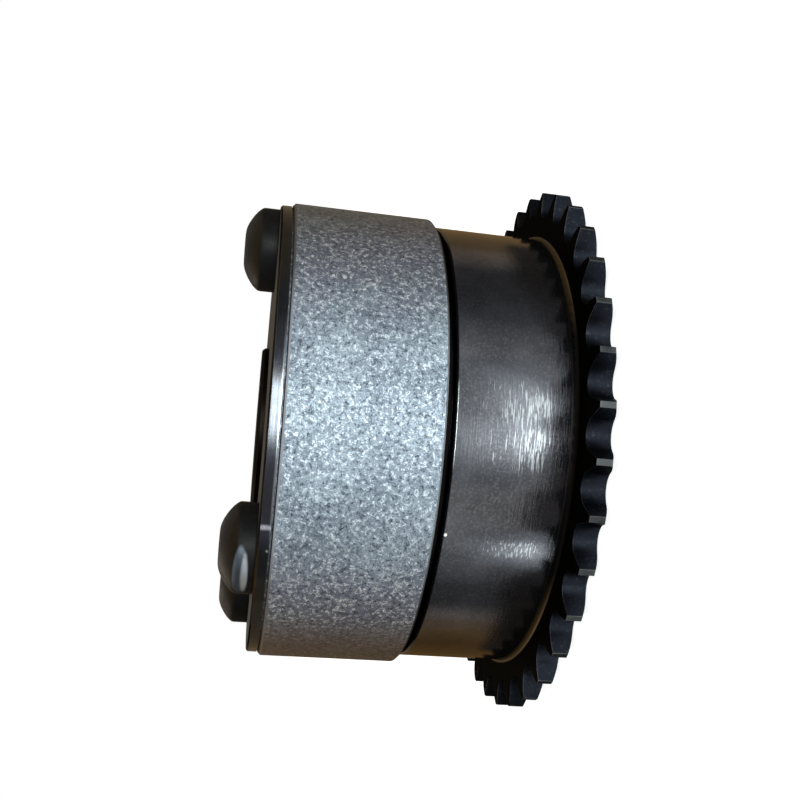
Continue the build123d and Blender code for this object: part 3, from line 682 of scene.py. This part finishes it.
floor_mesh = bpy.data.meshes.new("floor")
floor_mesh.from_pydata([(-FLOOR_HALF, -FLOOR_HALF, 0), (FLOOR_HALF, -FLOOR_HALF, 0),
                        (FLOOR_HALF, FLOOR_HALF, 0), (-FLOOR_HALF, FLOOR_HALF, 0)],
                       [], [(0, 1, 2, 3)])
floor = bpy.data.objects.new("floor", floor_mesh)
floor.location.z = FLOOR_Z
bpy.context.scene.collection.objects.link(floor)

# The floor glows as far as its own brightness falls short of white
floor_material = bpy.data.materials.new("floor")
floor_tree = emptied(floor_material)
paper = shader(floor_tree, "ShaderNodeBsdfDiffuse", Color=(0.9, 0.9, 0.9, 1.0))
glow = shader(floor_tree, "ShaderNodeEmission", Strength=0.86)
seen_floor = floor_tree.nodes.new("ShaderNodeAddShader")
floor_tree.links.new(paper.outputs[0], seen_floor.inputs[0])
floor_tree.links.new(glow.outputs[0], seen_floor.inputs[1])
link_output(floor_tree, "ShaderNodeOutputMaterial",
            white_to_the_eye(floor_tree, seen_floor, paper))
floor_mesh.materials.append(floor_material)


# ---- cards that only reflections see, for what the polished barrel and rim mirror

# Heights on the barrel between which it mirrors the floor, in metres
MIRROR_LOW = 0.0041
MIRROR_HIGH = 0.036

# The cards on the floor lie in layers, one over the other
LOW_LIFT = 0.00005
MIDDLE_LIFT = 0.0001
TOP_LIFT = 0.00015

FLOOR_CARD_STEP = 0.5
WALL_CARD_STEP = 3.0
WALL_R = 0.32
WALL_HEIGHT = 0.22

# Tables of (angle, red, green, blue): the floor round the object, over and under it in the picture,
# which is dark to the sides and brown further back
UPPER_FLOOR = [
    (22, 1.0, 1.0, 1.0), (31, 0.28, 0.28, 0.30), (39, 0.14, 0.14, 0.14), (46, 0.16, 0.15, 0.15),
    (49, 0.44, 0.38, 0.33), (54, 0.50, 0.38, 0.27), (57, 0.30, 0.20, 0.10), (76, 0.22, 0.13, 0.05)]
LOWER_FLOOR = [
    (24, 1.0, 1.0, 1.0), (33, 0.28, 0.28, 0.29), (39, 0.22, 0.22, 0.22), (43, 0.70, 0.61, 0.54),
    (46, 0.56, 0.40, 0.28), (51, 0.42, 0.26, 0.11), (57, 0.22, 0.12, 0.04), (76, 0.10, 0.06, 0.02)]

# Close to the chain ring the floor lies in its shadow, which ends in scallops like the teeth: the
# height at which the barrel mirrors its edge, the depth of the scallops, and the shadow's colour
SHADOW_EDGE = [
    (-62, 0.0108), (-38, 0.0112), (-31, 0.0120), (-28, 0.0085), (-26, 0.0062), (-20, 0.0062),
    (-18, 0.0110), (-9, 0.0112), (-8, 0.0083), (10, 0.0080), (14, 0.0068), (23, 0.0071),
    (30, 0.0088), (38, 0.0112), (46, 0.0125), (62, 0.0125)]
SCALLOP_DEPTH = [(-38, 0.0), (-30, 0.0005), (34, 0.0005), (44, 0.0)]
SCALLOPS_PER_TURN = 50.0
SHADOW_COLOR = [
    (-36, 0.05, 0.04, 0.03), (-30, 0.10, 0.09, 0.09), (-24, 0.18, 0.16, 0.16),
    (-12, 0.15, 0.13, 0.125), (8, 0.15, 0.13, 0.12), (16, 0.14, 0.13, 0.13),
    (34, 0.14, 0.13, 0.13), (42, 0.07, 0.06, 0.05)]

# Beyond the shadow, light from low in front lies on the floor in two patches: their tint, the near
# edge of the front one, and how strong each is by angle and by height
PATCH_COLOR = (0.92, 0.98, 1.0)
FRONT_EDGE = [
    (-8, 0.0120), (-2, 0.0106), (0.5, 0.0089), (2.5, 0.0083), (4.5, 0.0086), (6.2, 0.0098),
    (7.8, 0.0080), (10, 0.0074), (12.5, 0.0080), (14, 0.0094), (21, 0.0090)]
FRONT_BY_ANGLE = [(-8, 0.0), (-5, 0.8), (-2.5, 2.2), (0.5, 5.0), (4.5, 5.0), (7, 3.2), (12, 2.6),
                  (15, 1.4), (18, 0.3), (21, 0.0)]
FRONT_BY_HEIGHT = [(0.008, 1.0), (0.013, 1.0), (0.017, 0.6), (0.021, 0.25), (0.025, 0.0)]
SIDE_BY_ANGLE = [(-28, 0.0), (-25, 1.2), (-22.5, 4.0), (-20, 1.0), (-17, 0.0)]
SIDE_BY_HEIGHT = [(0.006, 1.0), (0.010, 0.9), (0.014, 0.45), (0.020, 0.05)]

card_material = bpy.data.materials.new("studio_card")
card_tree = emptied(card_material)
card_colors = card_tree.nodes.new("ShaderNodeAttribute")
card_colors.attribute_name = "glow"
card_glow = card_tree.nodes.new("ShaderNodeEmission")
card_tree.links.new(card_colors.outputs["Color"], card_glow.inputs["Color"])
link_output(card_tree, "ShaderNodeOutputMaterial", card_glow)


def studio_card(name, points, columns, colors):
    """A card that only reflections see, made from a grid of points with a colour at each."""
    faces = []
    for first in range(len(points) - columns):
        if (first + 1) % columns:
            faces.append((first, first + 1, first + columns + 1, first + columns))
    mesh = bpy.data.meshes.new(name)
    mesh.from_pydata(points, [], faces)
    glow = mesh.attributes.new("glow", "FLOAT_COLOR", "POINT")
    for k, color in enumerate(colors):
        glow.data[k].color = (*color, 1.0)
    card = bpy.data.objects.new(name, mesh)
    card.visible_camera = False
    card.visible_diffuse = False
    card.visible_shadow = False
    card.visible_transmission = False
    bpy.context.scene.collection.objects.link(card)
    mesh.materials.append(card_material)


def between(table, place):
    """The numbers at a place, read from a table of (place, number, ...) rows in order."""
    if place <= table[0][0]:
        return table[0][1:]
    for low, high in zip(table, table[1:]):
        if place <= high[0]:
            share = (place - low[0]) / (high[0] - low[0])
            return tuple(p + (q - p) * share for p, q in zip(low[1:], high[1:]))
    return table[-1][1:]


def mirrored(angle, height, lift):
    """The place on the floor that the barrel mirrors, at an angle round it and a height on it."""
    a = math.radians(angle)
    on_barrel = Vector((math.sin(a), -math.cos(a), 0.0)) * BARREL_R
    ray = on_barrel - camera.location
    run = math.hypot(ray.x, ray.y)
    out = 2.0 * a + math.atan2(ray.x, ray.y)
    reach = run * height / (camera.location.z - height)
    return (on_barrel.x + reach * math.sin(out), on_barrel.y - reach * math.cos(out), lift)


def floor_card(name, start, end, low, high, color, lift, rows=12):
    """A card on the floor, between two angles and two heights at which the barrel mirrors it.

    A height is a number or a function of the angle, and the colour is a function of both.
    """
    columns = round((end - start) / FLOOR_CARD_STEP)
    points = []
    colors = []
    for j in range(rows + 1):
        for i in range(columns + 1):
            angle = start + (end - start) * i / columns
            near, far = (value(angle) if callable(value) else value for value in (low, high))
            height = near + (far - near) * j / rows
            points.append(mirrored(angle, height, lift))
            colors.append(color(angle, height))
    studio_card(name, points, columns + 1, colors)


def wall_card(name, start, end, color):
    """An upright card round the object, between two angles."""
    steps = max(2, round(abs(end - start) / WALL_CARD_STEP))
    points = []
    for z in (0.0, WALL_HEIGHT):
        for k in range(steps + 1):
            a = math.radians(start + (end - start) * k / steps)
            points.append((WALL_R * math.sin(a), -WALL_R * math.cos(a), z))
    studio_card(name, points, steps + 1, [color] * len(points))


def shadow_edge(angle):
    scallop = between(SCALLOP_DEPTH, angle)[0]
    return (between(SHADOW_EDGE, angle)[0]
            + scallop * math.cos(math.radians(SCALLOPS_PER_TURN * angle)))


def patch_light(strength):
    return tuple(share * strength for share in PATCH_COLOR)


def front_patch(angle, height):
    strength = between(FRONT_BY_ANGLE, angle)[0] * between(FRONT_BY_HEIGHT, height)[0]
    return patch_light(1.0 + strength)


def side_patch(angle, height):
    strength = between(SIDE_BY_ANGLE, angle)[0] * between(SIDE_BY_HEIGHT, height)[0]
    return patch_light(0.8 + strength)


floor_card("floor_upper", 22.0, 76.0, MIRROR_LOW, MIRROR_HIGH,
           lambda angle, height: between(UPPER_FLOOR, angle), LOW_LIFT)
floor_card("floor_lower", -76.0, -24.0, MIRROR_LOW, MIRROR_HIGH,
           lambda angle, height: between(LOWER_FLOOR, -angle), LOW_LIFT)
for side in (1, -1):
    wall_card(f"wall_side_{side}", side * 50, side * 72, (0.13, 0.12, 0.11))
    wall_card(f"wall_back_{side}", side * 72, side * 180, (0.26, 0.19, 0.11))
wall_card("wall_right", 27, 50, (0.40, 0.38, 0.42))
wall_card("wall_left", -50, -7, (0.40, 0.37, 0.42))
floor_card("shadow", -62.0, 62.0, MIRROR_LOW, shadow_edge,
           lambda angle, height: between(SHADOW_COLOR, angle), MIDDLE_LIFT, rows=3)
floor_card("patch_front", -8.0, 21.0, lambda angle: between(FRONT_EDGE, angle)[0], 0.025,
           front_patch, MIDDLE_LIFT)
floor_card("patch_side", -27.0, -18.0, 0.0062, 0.020, side_patch, TOP_LIFT)


# ---- lamps

def softbox(name, place, target, width, height, power, color=WHITE):
    """A rectangular lamp at a place, turned to a target and hidden from the camera."""
    data = bpy.data.lights.new(name, "AREA")
    data.shape = "RECTANGLE"
    data.size = width
    data.size_y = height
    data.energy = power
    data.color = color
    lamp = bpy.data.objects.new(name, data)
    lamp.location = place
    lamp.rotation_euler = (Vector(target) - Vector(place)).to_track_quat("-Z", "Y").to_euler()
    lamp.visible_camera = False
    bpy.context.scene.collection.objects.link(lamp)


softbox("key", (0.100, -0.54, 0.055), (0.0, 0.0, 0.036), 0.25, 0.09, 1.72, (0.93, 0.985, 1.0))
softbox("fill", (0.35, -0.30, 0.40), (0.0, 0.0, 0.03), 0.40, 0.40, 0.4)
softbox("back", (-0.30, 0.40, 0.45), (0.0, 0.0, 0.03), 0.40, 0.40, 1.2, (1.0, 0.84, 0.66))
